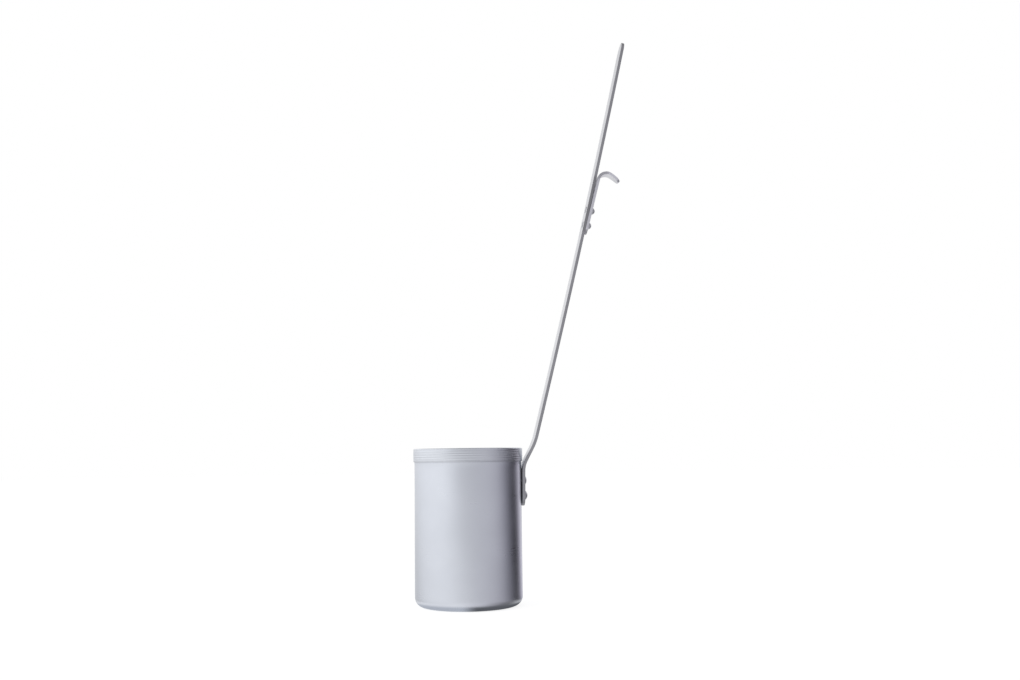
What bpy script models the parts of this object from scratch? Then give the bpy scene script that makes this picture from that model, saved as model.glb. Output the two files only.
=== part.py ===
"""Handled dipper cup: a drawn aluminium cup of about one litre on a long strip handle.

Metres, +Z up. The origin is the centre of the cup's underside, and the handle leaves
the cup towards +X. Two rivets fasten the handle's flat foot to the cup wall, and two
more fasten a curled hook to the handle's back, so that the cup can hang inside a can.
"""
import bisect
import math

import bmesh
import bpy

# Cup: one drawn sheet
CUP_RADIUS = 0.049
CUP_HEIGHT = 0.142
WALL = 0.0010
BASE = 0.0015
CORNER_RADIUS = 0.0086

# Hem: the sheet at the mouth, folded outward and pressed flat on the wall
HEM_HEIGHT = 0.012
HEM_CROWN = 0.00015
HEM_LIP_ANGLE = 140.0

# Handle: one strip, flat at its foot, bent out past the hem and back to its lean
HANDLE_WIDTH = 0.020
HANDLE_THICK = 0.0028
FOOT_END_MARGIN = 0.00945
FOOT_MARGIN = 0.00855
FOOT_BEND_BELOW_HEM = 0.0044
FOOT_BEND_RADIUS = 0.0205
FOOT_BEND_ANGLE = math.radians(27.4)
RISE_LENGTH = 0.0129
KNEE_RADIUS = 0.0547
KNEE_ANGLE = math.radians(13.1)
BLADE_LENGTH = 0.3903
BLADE_BOW = math.radians(1.8)

# Hook: a thinner strip that springs a little off the handle and ends in a curled tongue
HOOK_WIDTH = 0.012
HOOK_THICK = 0.0025
HOOK_TIP_WIDTH = 0.009
HOOK_TONGUE_LENGTH = 0.0143
HOOK_FROM_TIP = 0.1935
HOOK_END_MARGIN = 0.0087
HOOK_REACH = 0.0313
HOOK_SPRING = math.radians(1.0)
HOOK_BEND_RADIUS = 0.0063
HOOK_BEND_ANGLE = math.radians(69.4)
HOOK_FLAT_LENGTH = 0.0010
HOOK_BROW_RADIUS = 0.0051
HOOK_BROW_ANGLE = math.radians(35.5)
HOOK_CURL_RADIUS = 0.031
HOOK_CURL_ANGLE = math.radians(20.5)

# Rivets: round heads outside, low heads inside the cup and on the handle's front
CUP_RIVET_PITCH = 0.0137
CUP_RIVET_HEAD_RADIUS = 0.0045
CUP_RIVET_SHANK_RADIUS = 0.0025
CUP_RIVET_LOWER_RISE = 0.00265
CUP_RIVET_UPPER_RISE = 0.0019
CUP_RIVET_INNER_RISE = 0.0012
HOOK_RIVET_PITCH = 0.0148
HOOK_RIVET_HEAD_RADIUS = 0.00325
HOOK_RIVET_SHANK_RADIUS = 0.0019
HOOK_RIVET_RISE = 0.0026
HOOK_RIVET_INNER_RISE = 0.0004

# Clearances and rounded edges
SEAT_GAP = 0.00025
DRILL_OVERRUN = 0.003
HANDLE_EDGE_RADIUS = 0.0008
HOOK_EDGE_RADIUS = 0.0006

# How finely round shapes are divided
CUP_STEPS = 80
RIVET_STEPS = 24
CORNER_SEGMENTS = 6
LIP_SEGMENTS = 4
DOME_SEGMENTS = 5
END_SEGMENTS = 16
EDGE_RESOLUTION = 1
BEND_STEP = math.radians(4.5)
BLADE_ROWS = 12
FLAT_ANGLE = math.radians(0.5)
SHARP_ANGLE = math.radians(32.0)
MERGE_DISTANCE = 0.00001

# Metals: the name, colour and roughness of each finish
CUP_METAL = ("drawn_aluminium", (0.80, 0.81, 0.84), 0.36)
HANDLE_METAL = ("rolled_strip", (0.79, 0.80, 0.83), 0.32)
HOOK_METAL = ("hook_strip", (0.76, 0.77, 0.80), 0.34)
CUP_RIVET_METAL = ("cup_rivet_metal", (0.74, 0.75, 0.78), 0.30)
HOOK_RIVET_METAL = ("hook_rivet_metal", (0.72, 0.73, 0.76), 0.30)

PARTS = "handled_dipper_cup"
CUTTERS = "cutters"


def clear_scene():
    """Remove every object that is in the open file."""
    for item in list(bpy.data.objects):
        bpy.data.objects.remove(item, do_unlink=True)


def make_collection(name):
    """Return a new collection that hangs from the scene."""
    collection = bpy.data.collections.new(name)
    bpy.context.scene.collection.children.link(collection)
    return collection


def make_material(name, colour, roughness):
    """Return bare metal of one colour and roughness."""
    material = bpy.data.materials.new(name)
    material.use_nodes = True
    shader = material.node_tree.nodes["Principled BSDF"]
    shader.inputs["Base Color"].default_value = (*colour, 1.0)
    shader.inputs["Metallic"].default_value = 1.0
    shader.inputs["Roughness"].default_value = roughness
    material.diffuse_color = (*colour, 1.0)
    return material


def add_object(name, mesh, collection, material=None):
    """Return a new object with its mesh, in its collection."""
    item = bpy.data.objects.new(name, mesh)
    collection.objects.link(item)
    if material:
        mesh.materials.append(material)
    return item


def arc(centre, radius, start, end, segments):
    """Return points (r, z) on an arc; angles in degrees from +r towards +z."""
    points = []
    for step in range(segments + 1):
        angle = math.radians(start + (end - start) * step / segments)
        points.append((centre[0] + radius * math.cos(angle), centre[1] + radius * math.sin(angle)))
    return points


def turned(name, profile, steps, collection, material):
    """Return an object turned about Z from a profile that runs down its outer side."""
    mesh = bpy.data.meshes.new(name)
    points = [(r, 0.0, z) for r, z in profile]
    edges = [(step, step + 1) for step in range(len(points) - 1)]
    mesh.from_pydata(points, edges, [])
    item = add_object(name, mesh, collection, material)
    screw = item.modifiers.new("turn", "SCREW")
    screw.axis = "Z"
    screw.steps = steps
    screw.render_steps = steps
    screw.use_merge_vertices = True
    screw.merge_threshold = MERGE_DISTANCE
    screw.use_smooth_shade = True
    return item


def cup_profile():
    """Return the cup's section: up the inside, over the folded hem and down the outside."""
    inner_corner = CORNER_RADIUS - WALL
    corner_centre = CUP_RADIUS - CORNER_RADIUS
    hem_radius = CUP_RADIUS + WALL
    hem_foot = CUP_HEIGHT - HEM_HEIGHT
    fold_centre = (CUP_RADIUS, CUP_HEIGHT - WALL)
    lip_radius = WALL / 2
    lip_centre = (CUP_RADIUS + lip_radius, hem_foot + lip_radius)
    points = [(0.0, BASE)]
    points += arc((corner_centre, BASE + inner_corner), inner_corner, -90, 0, CORNER_SEGMENTS)
    points += arc(fold_centre, WALL, 180, 0, CORNER_SEGMENTS)
    face_top = fold_centre[1]
    face_foot = lip_centre[1]
    for step in range(1, CORNER_SEGMENTS - 1):
        share = step / (CORNER_SEGMENTS - 1)
        bulge = HEM_CROWN * math.sin(math.pi * share)
        points.append((hem_radius + bulge, face_top + (face_foot - face_top) * share))
    points += arc(lip_centre, lip_radius, 0, -HEM_LIP_ANGLE, LIP_SEGMENTS)
    points.append((CUP_RADIUS, lip_centre[1]))
    points += arc((corner_centre, CORNER_RADIUS), CORNER_RADIUS, 0, -90, CORNER_SEGMENTS)
    points.append((0.0, 0.0))
    return points


def dome(radius, rise):
    """Return points (r, z) from a round head's crown down to its rim at z = 0."""
    sphere = (radius ** 2 + rise ** 2) / (2 * rise)
    reach = math.acos((sphere - rise) / sphere)
    points = []
    for step in range(DOME_SEGMENTS + 1):
        angle = reach * step / DOME_SEGMENTS
        points.append((sphere * math.sin(angle), sphere * math.cos(angle) - sphere + rise))
    points[0] = (0.0, rise)
    points[-1] = (radius, 0.0)
    return points


def rivet_profile(head_radius, shank_radius, rise, inner_rise, grip):
    """Return a set rivet's section; the outer head's seat is at z = 0."""
    points = dome(head_radius, rise)
    points += [(shank_radius, 0.0), (shank_radius, -grip)]
    points += [(r, -grip - z) for r, z in reversed(dome(head_radius, inner_rise))]
    return points


def bend(radius, angle):
    """Return the move (length, turn, rows) round a bend of the strip's outer face."""
    rows = max(1, math.ceil(abs(angle) / BEND_STEP))
    return (radius * abs(angle), angle, rows)


def straight(length):
    """Return the move (length, turn, rows) along a straight stretch."""
    return (length, 0.0, 1)


def along(start, moves, distance):
    """Return (x, z, lean) at a distance along a path of moves.

    The lean is the path's angle from +Z towards +X.
    """
    x, z, lean = start
    for length, turn, _ in moves:
        step = min(distance, length)
        part = turn * step / length
        chord = step * math.sin(part / 2) / (part / 2) if part else step
        x += chord * math.sin(lean + part / 2)
        z += chord * math.cos(lean + part / 2)
        lean += part
        distance -= step
        if distance <= 0:
            break
    return x, z, lean


def path_length(moves):
    """Return the whole length of a path of moves."""
    return sum(length for length, _, _ in moves)


def row_distances(moves):
    """Return the distances along a path where the strip's mesh needs a row."""
    distances = [0.0]
    for length, _, rows in moves:
        begin = distances[-1]
        distances += [begin + length * step / rows for step in range(1, rows + 1)]
    return distances


def blank_outline(length, width, tip_width, taper_from):
    """Return points (distance, across) round the flat blank of a strip with round ends.

    The blank keeps its width as far as taper_from, and its sides then run straight to
    the tip's round, which they meet without a corner.
    """
    foot = width / 2
    tip = tip_width / 2
    run = length - tip - taper_from
    taper = math.acos(tip / math.hypot(foot, run)) - math.atan2(run, foot)
    tip_reach = 90.0 - math.degrees(taper)
    points = arc((foot, 0.0), foot, 90.0, 270.0, END_SEGMENTS)
    points.append((taper_from, -foot))
    points += arc((length - tip, 0.0), tip, -tip_reach, tip_reach, END_SEGMENTS)
    points.append((taper_from, foot))
    return points


def cut_blank(name, outline, thickness, edge_radius):
    """Return the mesh of a flat strip with rounded edges, halved by the plane z = 0."""
    curve = bpy.data.curves.new(name, "CURVE")
    curve.dimensions = "2D"
    curve.fill_mode = "BOTH"
    curve.extrude = thickness / 2 - edge_radius
    curve.bevel_depth = edge_radius
    curve.bevel_resolution = EDGE_RESOLUTION
    curve.offset = -edge_radius
    spline = curve.splines.new("POLY")
    spline.points.add(len(outline) - 1)
    for point, (distance, across) in zip(spline.points, outline):
        point.co = (distance, across, 0.0, 1.0)
    spline.use_cyclic_u = True
    blank = bpy.data.objects.new(name, curve)
    mesh = bpy.data.meshes.new_from_object(blank)
    bpy.data.objects.remove(blank, do_unlink=True)
    bpy.data.curves.remove(curve)
    return mesh


def fold(mesh, start, moves, thickness):
    """Cut rows across a flat blank where it bends, and lay it along its path.

    The blank runs along +X from 0, and its lower face becomes the strip's outer face.
    """
    distances = row_distances(moves)
    rows = [along(start, moves, distance) for distance in distances]
    builder = bmesh.new()
    builder.from_mesh(mesh)
    bmesh.ops.remove_doubles(builder, verts=builder.verts[:], dist=MERGE_DISTANCE)
    bmesh.ops.dissolve_limit(
        builder, angle_limit=FLAT_ANGLE, verts=builder.verts[:], edges=builder.edges[:])
    for distance in distances[1:-1]:
        bmesh.ops.bisect_plane(
            builder, geom=builder.verts[:] + builder.edges[:] + builder.faces[:],
            dist=MERGE_DISTANCE, plane_co=(distance, 0.0, 0.0), plane_no=(1.0, 0.0, 0.0))
    for vertex in builder.verts:
        row = min(max(bisect.bisect_right(distances, vertex.co.x), 1), len(rows) - 1)
        share = (vertex.co.x - distances[row - 1]) / (distances[row] - distances[row - 1])
        depth = vertex.co.z + thickness / 2
        x, z = 0.0, 0.0
        for place, weight in ((rows[row - 1], 1.0 - share), (rows[row], share)):
            normal = outward(place)
            x += weight * (place[0] - depth * normal[0])
            z += weight * (place[1] - depth * normal[1])
        vertex.co = (x, vertex.co.y, z)
    builder.to_mesh(mesh)
    builder.free()


def bent_strip(name, start, moves, outline, thickness, edge_radius, collection, material):
    """Return a strip cut to its outline and bent, with its outer face on the path."""
    mesh = cut_blank(name, outline, thickness, edge_radius)
    fold(mesh, start, moves, thickness)
    return add_object(name, mesh, collection, material)


def outward(place):
    """Return the unit vector (x, z) that points out of the strip's outer face."""
    lean = place[2]
    return math.cos(lean), -math.sin(lean)


def drill(name, place, radius, reach, targets, collection):
    """Cut one round hole through the targets, square to the strip at a place.

    The hole runs as far as its reach to each side of the place.
    """
    bpy.ops.mesh.primitive_cylinder_add(vertices=RIVET_STEPS, radius=radius, depth=2 * reach)
    cutter = bpy.context.object
    cutter.name = name
    cutter.location = (place[0], 0.0, place[1])
    cutter.rotation_euler = (0.0, math.pi / 2 + place[2], 0.0)
    for owner in list(cutter.users_collection):
        owner.objects.unlink(cutter)
    collection.objects.link(cutter)
    cutter.hide_render = True
    cutter.display_type = "WIRE"
    for target in targets:
        cut = target.modifiers.new(name, "BOOLEAN")
        cut.operation = "DIFFERENCE"
        cut.solver = "EXACT"
        cut.object = cutter


def set_rivet(name, place, stand, profile, collection, material):
    """Place a rivet square to the strip, its outer head's seat at stand off the place."""
    item = turned(name, profile, RIVET_STEPS, collection, material)
    normal = outward(place)
    item.location = (place[0] + normal[0] * stand, 0.0, place[1] + normal[1] * stand)
    item.rotation_euler = (0.0, math.pi / 2 + place[2], 0.0)
    return item


def freeze(item):
    """Apply an object's modifiers and shade it smooth, with its true corners sharp."""
    graph = bpy.context.evaluated_depsgraph_get()
    mesh = bpy.data.meshes.new_from_object(item.evaluated_get(graph))
    item.modifiers.clear()
    item.data = mesh
    mesh.shade_smooth()
    mesh.set_sharp_from_angle(angle=SHARP_ANGLE)


def handle_moves():
    """Return the handle's path from its foot to its tip."""
    foot = FOOT_END_MARGIN + CUP_RIVET_PITCH + FOOT_MARGIN
    return [
        straight(foot),
        bend(FOOT_BEND_RADIUS, FOOT_BEND_ANGLE),
        straight(RISE_LENGTH),
        bend(KNEE_RADIUS, -KNEE_ANGLE),
        (BLADE_LENGTH, -BLADE_BOW, BLADE_ROWS),
    ]


def handle_start(moves):
    """Return (x, z, lean) at the lower end of the handle's outer face."""
    bend_z = CUP_HEIGHT - HEM_HEIGHT - FOOT_BEND_BELOW_HEM
    tangent = FOOT_BEND_RADIUS * math.tan(FOOT_BEND_ANGLE / 2)
    return (CUP_RADIUS + SEAT_GAP + HANDLE_THICK, bend_z - tangent - moves[0][0], 0.0)


def hook_moves():
    """Return the hook's path from its lower end to the tip of its tongue.

    A row above the rivets parts their stretch of the back from the plain flat one,
    which bears on the wall of a can.
    """
    return [
        straight(HOOK_END_MARGIN + HOOK_RIVET_PITCH + HOOK_END_MARGIN),
        straight(HOOK_REACH - HOOK_END_MARGIN),
        bend(HOOK_BEND_RADIUS, HOOK_BEND_ANGLE),
        straight(HOOK_FLAT_LENGTH),
        bend(HOOK_BROW_RADIUS, HOOK_BROW_ANGLE),
        bend(HOOK_CURL_RADIUS, HOOK_CURL_ANGLE),
    ]


def hook_start(seat):
    """Return (x, z, lean) at the lower end of the hook's outer face, over its seat."""
    lean = seat[2] + HOOK_SPRING
    stand = SEAT_GAP + HOOK_THICK
    return (seat[0] + stand * math.cos(lean), seat[1] - stand * math.sin(lean), lean)


def build_cup(collection):
    """Return the drawn cup with its folded hem."""
    return turned("cup", cup_profile(), CUP_STEPS, collection, make_material(*CUP_METAL))


def build_handle(collection):
    """Return the handle with its start and its path."""
    moves = handle_moves()
    start = handle_start(moves)
    length = path_length(moves)
    outline = blank_outline(length, HANDLE_WIDTH, HANDLE_WIDTH, length / 2)
    handle = bent_strip(
        "handle", start, moves, outline, HANDLE_THICK, HANDLE_EDGE_RADIUS, collection,
        make_material(*HANDLE_METAL))
    return handle, start, moves


def build_hook(seat, collection):
    """Return the hook, riveted up the handle's back from its seat."""
    moves = hook_moves()
    length = path_length(moves)
    outline = blank_outline(length, HOOK_WIDTH, HOOK_TIP_WIDTH, length - HOOK_TONGUE_LENGTH)
    return bent_strip(
        "hook", hook_start(seat), moves, outline, HOOK_THICK, HOOK_EDGE_RADIUS, collection,
        make_material(*HOOK_METAL))


def fasten_handle(cup, handle, start, moves, parts, cutters):
    """Drill the cup wall and the handle's foot, and set the two cup rivets."""
    material = make_material(*CUP_RIVET_METAL)
    inner_wall = CUP_RADIUS - WALL
    inner_seat = math.sqrt(inner_wall ** 2 - CUP_RIVET_HEAD_RADIUS ** 2) - SEAT_GAP
    grip = start[0] + SEAT_GAP - inner_seat
    hole = CUP_RIVET_SHANK_RADIUS + SEAT_GAP
    rivets = []
    for level, (name, rise) in enumerate((
            ("cup_rivet_lower", CUP_RIVET_LOWER_RISE), ("cup_rivet_upper", CUP_RIVET_UPPER_RISE))):
        place = along(start, moves, FOOT_END_MARGIN + level * CUP_RIVET_PITCH)
        drill(f"{name}_hole", place, hole, grip + DRILL_OVERRUN, (cup, handle), cutters)
        profile = rivet_profile(
            CUP_RIVET_HEAD_RADIUS, CUP_RIVET_SHANK_RADIUS, rise, CUP_RIVET_INNER_RISE, grip)
        rivets.append(set_rivet(name, place, SEAT_GAP, profile, parts, material))
    return rivets


def fasten_hook(handle, hook, start, moves, parts, cutters):
    """Drill the handle and the hook, and set the two hook rivets."""
    material = make_material(*HOOK_RIVET_METAL)
    hole = HOOK_RIVET_SHANK_RADIUS + SEAT_GAP
    hook_end = path_length(moves) - HOOK_FROM_TIP
    rivets = []
    for level, name in enumerate(("hook_rivet_lower", "hook_rivet_upper")):
        reach = HOOK_END_MARGIN + level * HOOK_RIVET_PITCH
        place = along(start, moves, hook_end + reach)
        spring_gap = (reach + HOOK_RIVET_HEAD_RADIUS) * math.tan(HOOK_SPRING)
        stand = SEAT_GAP + spring_gap + HOOK_THICK + SEAT_GAP
        grip = stand + HANDLE_THICK + SEAT_GAP
        drill(f"{name}_hole", place, hole, grip + DRILL_OVERRUN, (handle, hook), cutters)
        profile = rivet_profile(
            HOOK_RIVET_HEAD_RADIUS, HOOK_RIVET_SHANK_RADIUS, HOOK_RIVET_RISE,
            HOOK_RIVET_INNER_RISE, grip)
        rivets.append(set_rivet(name, place, stand, profile, parts, material))
    return rivets


def main():
    """Build the dipper cup, one object for each piece."""
    clear_scene()
    parts = make_collection(PARTS)
    cutters = make_collection(CUTTERS)
    cup = build_cup(parts)
    handle, start, moves = build_handle(parts)
    seat = along(start, moves, path_length(moves) - HOOK_FROM_TIP)
    hook = build_hook(seat, parts)
    rivets = fasten_handle(cup, handle, start, moves, parts, cutters)
    rivets += fasten_hook(handle, hook, start, moves, parts, cutters)
    for item in (cup, handle, hook, *rivets):
        freeze(item)


main()
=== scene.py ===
"""Looks of a handled dipper cup in plain aluminium.

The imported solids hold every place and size. This file lays a fine, smooth skin over
each of them and dresses it: a drawn cup with a folded, turned hem, two rolled strips
with sheared edges, and four hammered rivets. Metres, +Z up, the handle towards +X.
"""
import bisect
import logging
import math
from dataclasses import dataclass, field, replace
from enum import Enum
from typing import Callable, ClassVar, Iterable, Sequence, Union

import bmesh
import bpy
from mathutils import Matrix, Vector, noise


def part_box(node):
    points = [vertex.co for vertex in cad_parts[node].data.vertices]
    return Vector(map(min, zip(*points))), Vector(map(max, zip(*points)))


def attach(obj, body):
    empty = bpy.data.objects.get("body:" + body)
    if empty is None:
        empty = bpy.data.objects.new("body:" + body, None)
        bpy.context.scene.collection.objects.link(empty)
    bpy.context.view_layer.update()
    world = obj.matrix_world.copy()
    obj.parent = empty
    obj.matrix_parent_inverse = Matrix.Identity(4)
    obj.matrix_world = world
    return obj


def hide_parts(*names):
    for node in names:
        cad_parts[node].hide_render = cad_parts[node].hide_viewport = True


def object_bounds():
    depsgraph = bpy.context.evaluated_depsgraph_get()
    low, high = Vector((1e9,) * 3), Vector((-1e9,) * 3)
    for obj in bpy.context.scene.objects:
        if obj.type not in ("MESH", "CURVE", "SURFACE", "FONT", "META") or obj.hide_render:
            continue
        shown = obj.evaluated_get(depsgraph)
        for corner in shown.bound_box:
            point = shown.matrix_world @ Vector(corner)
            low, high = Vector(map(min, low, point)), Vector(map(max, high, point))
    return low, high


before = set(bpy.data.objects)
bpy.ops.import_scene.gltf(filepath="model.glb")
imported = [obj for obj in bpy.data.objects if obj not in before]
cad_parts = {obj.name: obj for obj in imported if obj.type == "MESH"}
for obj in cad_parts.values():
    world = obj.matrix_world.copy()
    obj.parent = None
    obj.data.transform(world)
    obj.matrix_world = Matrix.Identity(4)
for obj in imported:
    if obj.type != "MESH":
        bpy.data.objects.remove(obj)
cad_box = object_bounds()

log = logging.getLogger("dipper")

Socket = bpy.types.NodeSocket
Value = Union[Socket, float, tuple]
Point2 = tuple[float, float]
Place = tuple[float, float, float]
Move = tuple[float, float, int]

# Points that are nearer than this are one point.
MERGE_DISTANCE = 0.000004
# Faces of a turned piece that meet at more than this keep a sharp edge.
SHARP_ANGLE = math.radians(55.0)
# Faces of a flat blank that meet at less than this become one face.
FLAT_ANGLE = math.radians(0.2)
# The map with each point's place on the flat blank, and how far across it the inner
# face is moved, so that it doesn't repeat the outer face's marks.
BLANK_UV = "blank"
INNER_FACE_SHIFT = 0.1
# The span that most values of a noise lie in.
NOISE_SPAN = (0.3, 0.7)
# Dark colour of the seats' marks: dirt at some, painted shade where parts meet at others.
GRIME_AND_SHADE_COLOUR = (0.085, 0.08, 0.082, 1.0)
WHITE = (1.0, 1.0, 1.0, 1.0)


class Grain(Enum):
    """Which way the marks of the making run on a surface."""

    TURNED = "rings round the cup's axis, stacked up its wall"
    FACED = "rings round the cup's axis, spread over its base"
    DRAWN = "lines along a strip"
    STRUCK = "no lines, only small dents"


class Graph:
    """A node tree that is being wired."""

    def __init__(self, tree: bpy.types.NodeTree) -> None:
        """Start on the node tree of a material, a world or a group."""
        self.tree = tree

    def node(self, kind: str, inputs: dict | None = None, **settings: object) -> bpy.types.Node:
        """Add a node.

        Args:
            kind: The node's type.
            inputs: Sockets or plain values by input name or number.
            **settings: The node's own properties.

        Returns:
            The new node.
        """
        made = self.tree.nodes.new(kind)
        for name, value in settings.items():
            setattr(made, name, value)
        for key, value in (inputs or {}).items():
            if isinstance(value, Socket):
                self.tree.links.new(value, made.inputs[key])
            else:
                made.inputs[key].default_value = value
        return made

    def math(self, operation: str, *operands: Value) -> Socket:
        """Return the result of a Math node, from sockets or numbers."""
        return self.node("ShaderNodeMath", dict(enumerate(operands)), operation=operation).outputs[0]

    def vector(self, operation: str, *operands: Value) -> Socket:
        """Return the result of a Vector Math node, from sockets or vectors."""
        made = self.node("ShaderNodeVectorMath", dict(enumerate(operands)), operation=operation)
        return made.outputs["Value" if operation == "LENGTH" else "Vector"]

    def spread(self, value: Value, low: float, high: float, start: float = 0.0, end: float = 1.0) -> Socket:
        """Map a value smoothly from one span to another.

        Args:
            value: The value to map.
            low: Where the first span begins.
            high: Where the first span ends.
            start: What low becomes.
            end: What high becomes.

        Returns:
            The mapped value, which stays inside the second span.
        """
        inputs = {"Value": value, "From Min": low, "From Max": high, "To Min": start, "To Max": end}
        made = self.node("ShaderNodeMapRange", inputs, interpolation_type="SMOOTHSTEP")
        return made.outputs["Result"]

    def mix(self, share: Value, first: Value, second: Value) -> Socket:
        """Mix two colours.

        Args:
            share: 0 for the first colour, 1 for the second.
            first: A colour or its socket.
            second: A colour or its socket.

        Returns:
            The mixed colour.
        """
        made = self.node("ShaderNodeMix", data_type="RGBA")
        for key, value in (("Factor", share), ("A", first), ("B", second)):
            kind = "VALUE" if key == "Factor" else "RGBA"
            socket = next(s for s in made.inputs if s.name == key and s.type == kind)
            if isinstance(value, Socket):
                self.tree.links.new(value, socket)
            else:
                socket.default_value = value
        return next(s for s in made.outputs if s.type == "RGBA")

    def noise(self, vector: Socket, scale: Value, detail: float, roughness: float = 0.5) -> Socket:
        """Return a noise from 0 to 1, with scale as its grains to a unit and detail as its finer layers."""
        inputs = {"Vector": vector, "Scale": scale, "Detail": detail, "Roughness": roughness}
        return self.node("ShaderNodeTexNoise", inputs, noise_dimensions="3D").outputs["Fac"]


class Effect:
    """A surface effect that several finishes share, as one shader node group."""

    made: dict[str, bpy.types.NodeTree] = {}

    def __init__(self, name: str, takes: dict[str, str], gives: Sequence[str],
                 wire: Callable[[Graph, dict[str, Socket]], dict[str, Socket]]) -> None:
        """Describe the effect.

        Args:
            name: The group's name.
            takes: Kind of socket by input name.
            gives: Names of the outputs, each a value.
            wire: Wires the group and returns its results by output name.
        """
        self.name = name
        self.takes = takes
        self.gives = gives
        self.wire = wire

    def tree(self) -> bpy.types.NodeTree:
        """Build the group on first use.

        Returns:
            The group's tree.
        """
        if self.name in Effect.made:
            return Effect.made[self.name]
        tree = bpy.data.node_groups.new(self.name, "ShaderNodeTree")
        for name, kind in self.takes.items():
            tree.interface.new_socket(name, in_out="INPUT", socket_type=kind)
        for name in self.gives:
            tree.interface.new_socket(name, in_out="OUTPUT", socket_type="NodeSocketFloat")
        graph = Graph(tree)
        inlet = graph.node("NodeGroupInput")
        results = self.wire(graph, {name: inlet.outputs[name] for name in self.takes})
        graph.node("NodeGroupOutput", results)
        Effect.made[self.name] = tree
        return tree

    def use(self, graph: Graph, inputs: dict[str, Value]) -> bpy.types.bpy_prop_collection:
        """Place the effect in a material, and return its outputs."""
        return graph.node("ShaderNodeGroup", inputs, node_tree=self.tree()).outputs


VALUE_SOCKET = "NodeSocketFloat"
VECTOR_SOCKET = "NodeSocketVector"


def wire_line_grain(graph: Graph, given: dict[str, Socket]) -> dict[str, Socket]:
    """Wire fine parallel lines that fade in and out along their run.

    Args:
        graph: The group's graph.
        given: Across, the distance across the lines; Place, Pitch and Run in metres.

    Returns:
        Height and Tone, each from 0 to 1.
    """
    runs = graph.math("DIVIDE", 1.0, given["Run"])
    along = graph.node("ShaderNodeVectorMath", {0: given["Place"], "Scale": runs}, operation="SCALE")
    layers = []
    for fineness, detail, shift in ((1.0, 1.0, 0.0), (3.7, 2.0, 7.3)):
        across = graph.math("MULTIPLY", graph.math("DIVIDE", given["Across"], given["Pitch"]), fineness)
        offset = graph.node("ShaderNodeCombineXYZ", {"Y": shift, "Z": across}).outputs[0]
        layers.append(graph.noise(graph.vector("ADD", along.outputs[0], offset), 1.0, detail))
    coarse, fine = layers
    coarse_share = 0.65
    height = graph.math("MULTIPLY", coarse, coarse_share)
    height = graph.math("MULTIPLY_ADD", fine, 1.0 - coarse_share, height)
    return {"Height": height, "Tone": graph.spread(fine, 0.34, 0.68)}


def wire_clouding(graph: Graph, given: dict[str, Socket]) -> dict[str, Socket]:
    """Wire broad soft clouds and small dull spots of oxide.

    Args:
        graph: The group's graph.
        given: Place and Size in metres.

    Returns:
        Tone and Spots, each from 0 to 1.
    """
    spots_to_cloud, patches_to_cloud = 9.0, 2.3
    spot_rim, spot_core = 0.26, 0.08
    patch_rim, patch_core = 0.52, 0.7
    scale = graph.math("DIVIDE", 1.0, given["Size"])
    clouds = graph.noise(given["Place"], scale, 3.0, 0.55)
    spot_scale = graph.math("MULTIPLY", scale, spots_to_cloud)
    cells = graph.node("ShaderNodeTexVoronoi", {"Vector": given["Place"], "Scale": spot_scale})
    spots = graph.spread(cells.outputs["Distance"], spot_rim, spot_core)
    patches = graph.noise(given["Place"], graph.math("MULTIPLY", scale, patches_to_cloud), 2.0)
    gathered = graph.math("MULTIPLY", spots, graph.spread(patches, patch_rim, patch_core))
    return {"Tone": graph.spread(clouds, *NOISE_SPAN), "Spots": gathered}


def wire_scratches(graph: Graph, given: dict[str, Socket]) -> dict[str, Socket]:
    """Wire sparse hairline scratches in two directions.

    Args:
        graph: The group's graph.
        given: Place and Length in metres.

    Returns:
        Mask, 1 on a scratch.
    """
    stretch = (1.0, 26.0, 26.0)
    masks = []
    for axis, angle, breaks in (("Z_AXIS", 24.0, 1.3), ("X_AXIS", -38.0, 2.3)):
        inputs = {"Vector": given["Place"], "Angle": math.radians(angle)}
        turned = graph.node("ShaderNodeVectorRotate", inputs, rotation_type=axis).outputs[0]
        finer = graph.math("DIVIDE", 1.0, given["Length"])
        hairs = graph.noise(graph.vector("MULTIPLY", turned, stretch), finer, 2.0)
        gaps = graph.noise(given["Place"], graph.math("DIVIDE", breaks, given["Length"]), 1.0)
        masks.append(graph.math("MULTIPLY", graph.spread(hairs, 0.66, 0.71), graph.spread(gaps, 0.5, 0.6)))
    return {"Mask": graph.math("MAXIMUM", *masks)}


def ragged_reach(graph: Graph, given: dict[str, Socket], grain: float, least: float, most: float) -> Socket:
    """Return a group's Reach times least to most, over the surface, with so many grains to a metre."""
    breakup = graph.noise(given["Place"], grain, 3.0, 0.6)
    return graph.math("MULTIPLY", given["Reach"], graph.spread(breakup, *NOISE_SPAN, least, most))


def wire_rubbed_edge(graph: Graph, given: dict[str, Socket]) -> dict[str, Socket]:
    """Wire the bright, broken band that handling leaves along an edge.

    Args:
        graph: The group's graph.
        given: Distance from the edge, Reach of the wear and Place, in metres.

    Returns:
        Mask, 1 where the metal is rubbed.
    """
    reach = ragged_reach(graph, given, grain=260.0, least=0.35, most=1.4)
    share = graph.math("DIVIDE", graph.math("ABSOLUTE", given["Distance"]), reach)
    return {"Mask": graph.spread(share, 1.0, 0.25)}


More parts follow.
